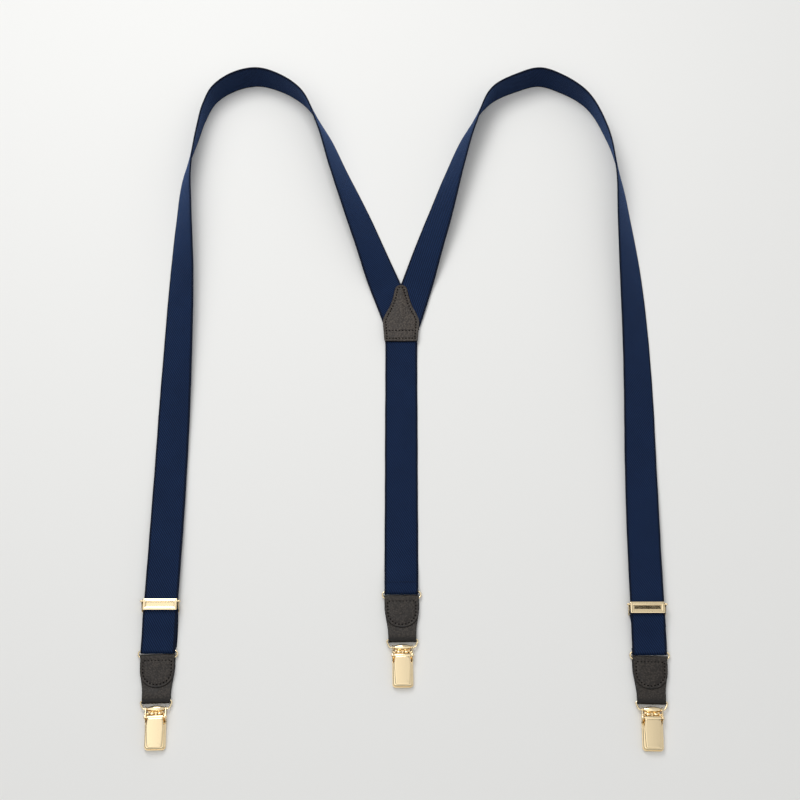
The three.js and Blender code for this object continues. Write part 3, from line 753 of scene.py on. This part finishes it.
def leatherTab(end):
    shorter = ends[end]["shorter"]
    path, middle, flapCount = tabPath(shorter)
    points = np.concatenate([path, middle])
    isFlap = np.arange(len(points)) < flapCount
    half = tabHalf(points[:, 0])
    half = np.where(isFlap, np.minimum(flapHalf(points[:, 0]), half), half)
    centres = np.column_stack([np.zeros(len(points)), points])
    travel = unit(np.gradient(centres, axis=0))
    across = np.tile([1.0, 0, 0], (len(centres), 1))
    normal = np.cross(travel, across)
    # profile: share of the flat width, then the rounded edge
    share = np.linspace(-1, 1, 31)
    turn = np.radians(np.linspace(90, -90, 9))
    r, t = tab["round"], tab["thick"] / 2
    edgeA = r * np.cos(turn)
    edgeB = (t - r) * np.sign(np.sin(turn)) + r * np.sin(turn)
    f = np.concatenate([share, np.ones(9), share[::-1], -np.ones(9)])
    ea = np.concatenate([0 * share, edgeA, 0 * share, -edgeA])
    eb = np.concatenate([0 * share + t, edgeB, 0 * share - t, edgeB[::-1]])
    # the cut edge is painted dark; the darkness is spread over the whole rounded edge, partly as painted
    # shadow under the edge
    painted = np.clip(edgeA / r * 1.3 + 0.45, 0, 1)
    rimRow = np.concatenate([0 * share, painted, 0 * share, painted])
    flatHalf = np.maximum(half - r, 0.05)[:, None, None]
    grid = (
        centres[:, None]
        + (f[None, :, None] * flatHalf + ea[None, :, None]) * across[:, None]
        + eb[None, :, None] * normal[:, None]
    )
    rim = np.tile(rimRow, (len(points), 1))
    # the rows at the flap's tip take the edge colour too: real painted edge, and painted shadow under the
    # flap's tip
    rim[:5] = 1
    # painted shade: the leather is darkened where it rounds the bail, for the shade that falls there
    fold = bail["top"] + shorter
    onTop = (np.arange(len(points)) > len(path) - 24) & (points[:, 0] < fold + 6)
    paintedShade = 0.66 * (1 - smooth01(points[:, 0], fold - 0.2, fold + 4.6)) * onTop
    rim = np.maximum(rim, paintedShade[:, None])
    # sewing pulls the flap down; inside the sewing it is a little padded
    flap = grid[:flapCount].reshape(-1, 3)
    upper = flap[:, 2] > tab["flapZ"] + 0.2
    line = flapStitchLine()
    closedLine = np.concatenate([line, line[:1]])
    dip = sewnDip(flap[:, :2], closedLine, tab["pitch"], 0.36, 0.5)
    edge = distanceTo(flap[:, :2], line)[0]
    flap[:, 2] -= np.where(upper, dip, 0)
    flap[:, 2] += np.where(upper, 0.16 * smooth01(edge, 0.8, 4) * (np.abs(flap[:, 0]) < 9.5), 0)
    grid[:flapCount] = flap.reshape(grid[:flapCount].shape)
    part = placed(loft(grid, rim=rim), end)
    stands = ("leather_tab_" + end,)
    build("tab_leather_" + end, [part], tabLeather, "tab_" + end, stands, sharp=60)
    places, ways = alongPath(closedLine, tab["pitch"])
    top = tab["flapZ"] + t - 0.2
    places3 = atEnd(np.column_stack([places, np.full(len(places), top)]), end)
    turnAngle = math.radians(ends[end]["turn"])
    c, s = math.cos(turnAngle), math.sin(turnAngle)
    wayX, wayY = ways[:, 0], ways[:, 1]
    ways3 = np.column_stack([wayX * c - wayY * s, wayX * s + wayY * c, 0 * wayX])
    stitches = stitchParts(places3, ways3, 1.35, 0.58)
    under = places3 * [1, 1, 0] + [0, 0, 0.18]
    stitches += stitchParts(under, ways3, 1.5, 0.15)
    build("tab_stitching_" + end, stitches, darkThread, "tab_" + end)
    return lengthAlong(centres)[-1]


tabLengths = [round(float(leatherTab(end)), 1) for end in ends]
print("tabs made, cut lengths", tabLengths, "mm")


def roundLoop(points, radius, sides=14):
    # round wire along a closed flat loop; ring k point = p + r cos t * side + r sin t * up
    ahead, behind = np.roll(points, -1, axis=0), np.roll(points, 1, axis=0)
    way = unit(ahead - behind)
    side = np.column_stack([-way[:, 1], way[:, 0], np.zeros(len(way))])
    turns = np.linspace(0, 2 * math.pi, sides, endpoint=False)
    grid = (
        points[:, None]
        + radius * np.cos(turns)[None, :, None] * side[:, None]
        + radius * np.sin(turns)[None, :, None] * np.array([0, 0, 1.0])
    )
    return loft(grid, ringClosed=True)


def filleted(corners, radii, count=9):
    # a closed flat loop with each corner rounded to its own radius
    corners = np.asarray(corners, float)
    path = []
    for i, (corner, radius) in enumerate(zip(corners, radii)):
        before = unit(corners[i - 1] - corner)
        after = unit(corners[(i + 1) % len(corners)] - corner)
        half = math.acos(np.clip(before @ after, -1, 1)) / 2
        middle = unit(before + after)
        centre = corner + middle * radius / math.sin(half)
        start = corner + before * radius / math.tan(half) - centre
        stop = corner + after * radius / math.tan(half) - centre
        a0 = math.atan2(start[1], start[0])
        sweep = (math.atan2(stop[1], stop[0]) - a0 + math.pi) % (2 * math.pi) - math.pi
        for t in np.linspace(0, 1, count):
            turn = a0 + sweep * t
            path.append(centre + radius * np.array([math.cos(turn), math.sin(turn)]))
    return np.array(path)


def turnedX(profile, y, z, sides=28):
    # a profile of (x, radius) turned round an axis along X
    profile = np.asarray(profile, float)
    turns = np.linspace(0, 2 * math.pi, sides, endpoint=False)
    x = np.repeat(profile[:, 0][:, None], sides, axis=1)
    r = profile[:, 1][:, None]
    return loft(np.stack([x, y + r * np.cos(turns), z + r * np.sin(turns)], axis=-1))


def roundedRod(half, radius, ease=0.35):
    # profile of a rod with rounded ends
    turn = np.radians(np.linspace(0, 90, 6))
    right = [(half - ease + ease * math.sin(t), radius - ease + ease * math.cos(t)) for t in turn]
    left = [(-x, r) for x, r in right[::-1]]
    return left + [(0, radius)] + right


def sideSlab(outline, x0, x1, ease=0.18):
    # an outline in the (y, z) side view carried from x0 to x1, its edges eased
    outline = np.asarray(outline, float)
    rows = []
    start = [(x0, ease), (x0 + ease * 0.3, ease * 0.3), (x0 + ease, 0)]
    stop = [(x1 - ease, 0), (x1 - ease * 0.3, ease * 0.3), (x1, ease)]
    for x, d in start + stop:
        loop = insetLoop(outline, d)
        rows.append(np.column_stack([np.full(len(loop), x), loop]))
    return loft(np.stack(rows))


def dish(outline, steps, spine):
    # a plate or tray: rows of (inset, z) from the middle underneath, round the rim, to the middle on top
    # z may be a function of the row's (x, y)
    rows = []
    for d, z in steps:
        loop = insetLoop(outline, d)
        rows.append(np.column_stack([loop, z(loop) if callable(z) else np.full(len(loop), z)]))

    def gathered(row, z, width):
        y = np.clip(row[:, 1], spine[0], spine[1])
        flat = np.column_stack([np.clip(row[:, 0], -width, width), y])
        return np.column_stack([flat, z(flat) if callable(z) else np.full(len(flat), z)])

    inner = [gathered(rows[0], steps[0][1], width) for width in (0.03, spine[2])]
    outer = [gathered(rows[-1], steps[-1][1], width) for width in (spine[2], spine[2] / 2, 0.03)]
    between = [rows[-1] + (outer[0] - rows[-1]) * share for share in (0.25, 0.5, 0.75)]
    return loft(np.stack(inner + rows + between + outer))


def lowered(height, rows):
    # steps for a dish: each row's inset, and its drop below a height worked out from (x, y)
    return [(inset, lambda p, drop=drop: height(p) - drop) for inset, drop in rows]


def rectangle(x, y0, y1, radius, count=7):
    corners = [(-x, y0), (x, y0), (x, y1), (-x, y1)]
    return filleted(corners, [radius] * 4, count)


def dense(loop, step):
    # more points on a loop's straight stretches
    return evenly(np.concatenate([loop, loop[:1]]), step)[:-1]


def ringAndBail(end):
    half, bar = ring["half"], ring["bar"]
    loop = dense(rectangle(half, -bar, bar, ring["corner"], 10), 0.8)
    loop = np.column_stack([loop, np.full(len(loop), ring["z"])])
    part = placed(roundLoop(loop, ring["wire"]), end, 0.5)
    build("wire_ring_" + end, [part], gold, "ring_" + end, ("ring_" + end,))

    top, bottom = bail["top"] + ends[end]["shorter"], bail["bottom"] + ends[end]["shorter"]
    corners = [(-11.9, top), (11.9, top), (9.2, bottom), (-9.2, bottom)]
    loop = dense(filleted(corners, [1.5, 1.5, 1.7, 1.7], 9), 0.7)
    loop = np.column_stack([loop, np.full(len(loop), bail["z"])])
    part = placed(roundLoop(loop, bail["wire"]), end)
    build("wire_bail_" + end, [part], gold, "bail_" + end, ("bail_" + end,))


for end in ends:
    ringAndBail(end)

clip = {
    "half": 7.55,
    "wall": 0.9,
    "end": -70.8,
    "top": -43.8,
    "jawHalf": 7.3,
    "jawTop": -52.4,
    "leverHalf": 5.7,
    "leverBulge": 0.25,
    "leverTop": -48.6,
    "leverEnd": -69.55,
    "padTop": -52.6,
    "padEnd": -68.7,
    "bossX": 2.75,
    "bossY": -44.9,
    "bossZ": 2.3,
    "bossHalf": (2.5, 1.5, 2.0),
}


def earOutline():
    outline = arc((bail["bottom"], bail["z"]), 2.0, -100, 58, 10)
    outline += arc((leverPin["y"], leverPin["z"]), 1.7, 62, 182, 10)
    outline += [(-50.4, 3.2), (-51.3, 2.5), (-51.6, 0.3), (-48, 0.25), (-44, 0.25)]
    return softened(evenly(outline + outline[:1], 0.35), 2)[:-1]


def shellPlan(half, low, high, radii, step):
    corners = [(-half, low), (half, low), (half, high), (-half, high)]
    return dense(filleted(corners, [radii[0], radii[0], radii[1], radii[1]]), step)


def clipBaseParts():
    plan = shellPlan(clip["half"], clip["end"], clip["top"], (2.6, 0.8), 0.7)

    def rimTop(loop):
        return 2.4 - 1.2 * smooth01(loop[:, 1], -50, -45)

    steps = [(0.35, 0.0), (0.1, 0.08), (0.0, 0.35)]
    steps += lowered(rimTop, ((0.0, 0.3), (0.12, 0.08), (0.4, 0), (0.75, 0.12), (0.9, 0.4)))
    steps += [(1.0, 1.0), (1.5, 0.9)]
    tray = dish(plan, steps, (clip["end"] + 4, clip["top"] - 4, 3.5))
    wall = clip["half"] - clip["wall"]
    ears = [sideSlab(earOutline(), wall, clip["half"]), sideSlab(earOutline(), -clip["half"], -wall)]
    return [tray] + ears


def jawParts():
    plan = shellPlan(clip["jawHalf"], clip["end"] + 0.6, clip["jawTop"], (2.4, 0.7), 0.6)
    steps = [(1.5, 3.6), (0.8, 3.5), (0.75, 2.85), (0.55, 2.7), (0.2, 2.7), (0.02, 2.85)]
    steps += [(0.0, 3.3), (0.12, 3.75), (0.38, 4.1), (0.75, 4.32), (1.2, 4.4), (2.0, 4.42)]
    shell = dish(plan, steps, (clip["end"] + 5, clip["jawTop"] - 4, 3.0))
    neck = [(-42, 1.7), (-42, 2.5), (-49.4, 2.5), (-50.4, 3.0), (-51.5, 4.35), (-53.4, 4.4)]
    neck += [(-53.4, 3.6), (-52.1, 3.5), (-50.9, 2.2), (-50, 1.7)]
    neckSlab = sideSlab(evenly(neck + neck[:1], 0.5)[:-1], -5.4, 5.4)
    # the roll round the bail's bar swells in the middle
    x = np.linspace(-6.2, 6.2, 33)
    swell = 1.35 + 0.95 * np.cos(x / 6.2 * math.pi / 2)
    eased = np.sqrt(np.clip(1 - np.clip((np.abs(x) - 5.7) / 0.5, 0, 1) ** 2, 0.02, 1))
    roll = turnedX(np.column_stack([x, swell * (0.75 + 0.25 * eased)]), bail["bottom"], bail["z"], 30)
    return [shell, neckSlab, roll] + [boss(side * clip["bossX"]) for side in (-1, 1)]


def boss(middle):
    # an ellipsoid: half-axes times (cos up cos turn, cos up sin turn, sin up)
    up = np.radians(np.linspace(-88, 88, 10))[:, None]
    turn = np.linspace(0, 2 * math.pi, 20, endpoint=False)[None, :]
    a, b, c = clip["bossHalf"]
    x = middle + a * np.cos(up) * np.cos(turn)
    y = clip["bossY"] + b * np.cos(up) * np.sin(turn)
    return loft(np.stack([x, y, clip["bossZ"] + c * np.sin(up) + 0 * turn], axis=-1))


def leverHeight(loop):
    # top of the lever: flat, a little lower towards its free end
    y = loop[:, 1]
    return 6.5 - 0.8 * smooth01(-y, 50, 72) - 0.003 * loop[:, 0] ** 2


def leverParts():
    h, b = clip["leverHalf"], clip["leverBulge"]
    y = np.linspace(clip["leverTop"], clip["leverEnd"], 15)
    middle = (y[0] + y[-1]) / 2
    half = h + b - (b + 0.45) * ((y - middle) / (y[0] - middle)) ** 2 + np.where(y > middle, 0.3, 0)
    right = np.column_stack([half, y])
    corners = np.concatenate([right, (right * [-1, 1])[::-1]])
    plan = softened(evenly(np.concatenate([corners, corners[:1]]), 0.5), 5)[:-1]

    steps = lowered(leverHeight, ((1.2, 1.05), (0.35, 1.05), (0.05, 0.93), (0.0, 0.73), (0.02, 0.52)))
    steps += lowered(leverHeight, ((0.14, 0.30), (0.36, 0.10), (0.62, 0.02), (0.9, 0), (1.6, 0)))
    plate = dish(plan, steps, (clip["leverEnd"] + 4, clip["leverTop"] - 4, 2.2))
    lip = turnedX(roundedRod(5.95, 1.5, 0.5), leverPin["y"], leverPin["z"], 32)
    return [plate, lip]


def padPart(half, z0, z1, ribsUp):
    # a grip pad with ribs across: the ribbed face rises and falls 0.3 mm every 1.2 mm
    y = np.arange(clip["padTop"], clip["padEnd"], -0.2)
    rib = 0.3 * np.abs(np.sin(np.pi * y / 1.2))
    low = np.full(len(y), z0) + (0 if ribsUp else rib)
    high = np.full(len(y), z1) - (rib if ribsUp else 0)
    rows = []
    for yy, a, b in zip(y, low, high):
        rows.append([(-half, yy, a), (half, yy, a), (half, yy, b), (-half, yy, b)])
    return loft(np.array(rows))


def shifted(part, shorter):
    points, faces, values = part
    return points + [0, shorter, 0], faces, values


def clipOn(end):
    shorter = ends[end]["shorter"]

    def here(parts):
        return [placed(shifted(part, shorter), end) for part in parts]

    for name, parts, body, node in (
        ("base_shell_", clipBaseParts(), "clip_", "clip_base_"),
        ("jaw_shell_", jawParts(), "clip_jaw_", "clip_jaw_"),
        ("lever_plate_", leverParts(), "clip_lever_", "clip_lever_"),
    ):
        build(name + end, here(parts), gold, body + end, (node + end,), weld=True)
    head = [(7.6, 0.6), (7.7, 0.9), (8.0, 0.85), (8.2, 0.6), (8.25, 0.15)]
    pin = turnedX([(-x, r) for x, r in head[::-1]] + head, leverPin["y"], leverPin["z"], 20)
    build("clip_pin_" + end, here([pin]), gold, "clip_" + end, ("lever_pin_" + end,))
    lower, upper = padPart(6.2, 1.1, 2.3, True), padPart(5.9, 2.42, 3.4, False)
    for name, part, body, node in (
        ("base_pad_ribs_", lower, "clip_", "base_pad_"),
        ("jaw_pad_ribs_", upper, "clip_jaw_", "jaw_pad_"),
    ):
        build(name + end, here([part]), padPlastic, body + end, (node + end,), sharp=50)


for end in ends:
    clipOn(end)
print("clips made")

slider = {"earIn": 12.85, "earOut": 13.65, "leverHalf": 12.5, "leverDeep": 4.3, "leverTop": 8.35}


def adjusterEar():
    outline = [(-4.3, 1.5), (0, 2.1), (4.2, 2.9), (4.3, 5.4)]
    outline += arc((camPin["y"], camPin["z"]), 1.15, 10, 175, 9)
    outline += [(-2.6, 4.6), (-4.3, 3.3)]
    return softened(evenly(outline + outline[:1], 0.4), 2)[:-1]


def adjusterFrameParts():
    ears = [sideSlab(adjusterEar(), slider["earIn"], slider["earOut"], 0.2)]
    ears.append(sideSlab(adjusterEar(), -slider["earOut"], -slider["earIn"], 0.2))
    bar = turnedX(roundedRod(slider["earOut"], ring["wire"], 0.2), loopBar["y"], loopBar["z"], 20)
    plan = dense(rectangle(slider["earOut"] - 0.1, -0.7, 4.3, 0.5), 0.7)
    plate = dish(plan, [(0.25, 3.2), (0.0, 3.4), (0.0, 3.8), (0.25, 4.0), (0.8, 4.0)], (1.2, 2.4, 11))
    return ears + [bar, plate]


def adjusterLeverParts():
    # a plate with a rounded frame round a sunk mirror panel, rolled at the back round its pin
    top = slider["leverTop"]
    plan = dense(rectangle(slider["leverHalf"], -slider["leverDeep"], slider["leverDeep"], 0.55), 0.5)
    steps = [(2.0, 7.3), (1.3, 7.32), (0.25, 7.72), (0.0, 7.95)]
    for turn in np.radians(np.linspace(0, 180, 13)):
        steps.append((1.15 - 1.15 * math.cos(turn), 8.0 + (top - 8.0) * math.sin(turn)))
    steps += [(2.36, 7.76), (2.9, 7.72)]
    plate = dish(plan, steps, (-0.6, 0.6, 9.4))
    roll = turnedX(roundedRod(slider["leverHalf"] - 0.1, 0.95, 0.2), camPin["y"], camPin["z"], 20)
    return [plate, roll]


def adjusterOn(side):
    shift = ends[side]["adjuster"]

    def here(parts):
        return [placed(shifted(part, shift), side, 0.0) for part in parts]

    for name, parts, body in (
        ("adjuster_frame_", adjusterFrameParts(), "adjuster_"),
        ("adjuster_lever_", adjusterLeverParts(), "adjuster_lever_"),
    ):
        build(name + "metal_" + side, here(parts), gold, body + side, (name + side,), weld=True)
    turns = np.radians(np.linspace(-60, 90, 10))
    ball = [(14.0 + 0.85 * math.sin(t), 0.85 * max(math.cos(t), 0.05)) for t in turns]
    pin = turnedX([(-x, r) for x, r in ball[::-1]] + ball, camPin["y"], camPin["z"], 18)
    stands = ("adjuster_pin_" + side,)
    build("adjuster_pin_metal_" + side, here([pin]), gold, "adjuster_" + side, stands)


for side in ("left", "right"):
    adjusterOn(side)


backSewing = {"half": 11.2, "above": 9.5, "z": 3.62, "pitch": 1.9}  # above: past the ring's centre


def webStitches():
    # the back strap is sewn through where its end is folded under
    place = ends["rear"]
    half, y, z = backSewing["half"], place["y"] + backSewing["above"], backSewing["z"]
    row = np.array([[-half, y], [half, y]]) + [place["x"] / 2, 0]
    places, ways = alongPath(row, backSewing["pitch"])
    places3 = np.column_stack([places, np.full(len(places), z)])
    parts = stitchParts(places3, np.column_stack([ways, 0 * ways[:, 0]]), 1.4, 0.22)
    build("back_strap_stitching", parts, navyThread, "straps")


webStitches()
print("adjusters and sewing made")

studio = {
    "table": (0.83, 0.83, 0.815),
    "zenith": 0.90,  # radiance straight up
    "slant": -1.25,  # how it changes towards +X
    "leftLow": 0.05,
    "rightLow": 0.60,
    "frontLow": 0.05,
    "front": 0.50,  # extra light from above the clips' side
    "key": {"at": (-0.27, 0.54, 0.96), "size": 0.52, "power": 5.0},
    "card": {"at": (0.42, 0.24, 1.5), "size": (0.15, 0.13)},
}


def tableTop():
    mesh = bpy.data.meshes.new("table")
    mesh.from_pydata([(-3, -3, 0), (3, -3, 0), (3, 3, 0), (-3, 3, 0)], [], [(0, 1, 2, 3)])
    mesh.materials.append(plainMaterial("table", studio["table"], 0.75, 0.15))
    table = bpy.data.objects.new("table", mesh)
    scene.collection.objects.link(table)


def softLight(name, settings, target=(0, -0.05, 0)):
    data = bpy.data.lights.new(name, "AREA")
    data.shape = "SQUARE"
    data.size = settings["size"]
    data.energy = settings["power"]
    light = bpy.data.objects.new(name, data)
    light.location = settings["at"]
    way = unit(np.array(target) - np.array(settings["at"]))
    light.rotation_euler = (math.acos(-way[2]), 0, math.atan2(way[1], way[0]) + 1.5 * math.pi)
    scene.collection.objects.link(light)


def studioSky():
    # bright overhead and brighter to the left of it; low down it is dark in front and on the left
    world = bpy.data.worlds.new("studio")
    world.use_nodes = True
    scene.world = world
    tree = world.node_tree
    split = tree.nodes.new("ShaderNodeSeparateXYZ")
    tree.links.new(tree.nodes.new("ShaderNodeTexCoord").outputs["Generated"], split.inputs[0])
    x, y, z = split.outputs[0], split.outputs[1], split.outputs[2]
    top = calc(tree, "MULTIPLY_ADD", x, studio["slant"], studio["zenith"])
    top = calc(tree, "MINIMUM", calc(tree, "MAXIMUM", top, 0.62), 1.15)
    towardFront = smoothStep(tree, calc(tree, "MULTIPLY", y, -1.0), 0.05, 0.35)
    top = calc(tree, "MULTIPLY_ADD", towardFront, studio["front"], top)
    side = smoothStep(tree, x, -0.35, 0.45)
    low = calc(tree, "MULTIPLY_ADD", side, studio["rightLow"] - studio["leftLow"], studio["leftLow"])
    front = smoothStep(tree, y, -0.75, -0.1)
    low = calc(tree, "MULTIPLY_ADD", calc(tree, "MULTIPLY", low, front), 0.92, studio["frontLow"])
    overhead = smoothStep(tree, z, 0.42, 0.88)
    gain = calc(tree, "SUBTRACT", top, low)
    strength = calc(tree, "MULTIPLY_ADD", gain, overhead, low)
    back = tree.nodes["Background"]
    back.inputs["Color"].default_value = (1, 1, 1, 1)
    tree.links.new(strength, back.inputs["Strength"])


def darkCard():
    # a small black card high above, seen only in the right adjuster's flat panel
    x, y, z = studio["card"]["at"]
    w, h = (side / 2 for side in studio["card"]["size"])
    mesh = bpy.data.meshes.new("card")
    corners = [(x - w, y - h, z), (x + w, y - h, z), (x + w, y + h, z), (x - w, y + h, z)]
    mesh.from_pydata(corners, [], [(0, 1, 2, 3)])
    mesh.materials.append(plainMaterial("black card", (0.03, 0.022, 0.008), 0.9, 0.0))
    card = bpy.data.objects.new("card", mesh)
    scene.collection.objects.link(card)


tableTop()
softLight("key", studio["key"])
darkCard()
studioSky()
print("studio made")
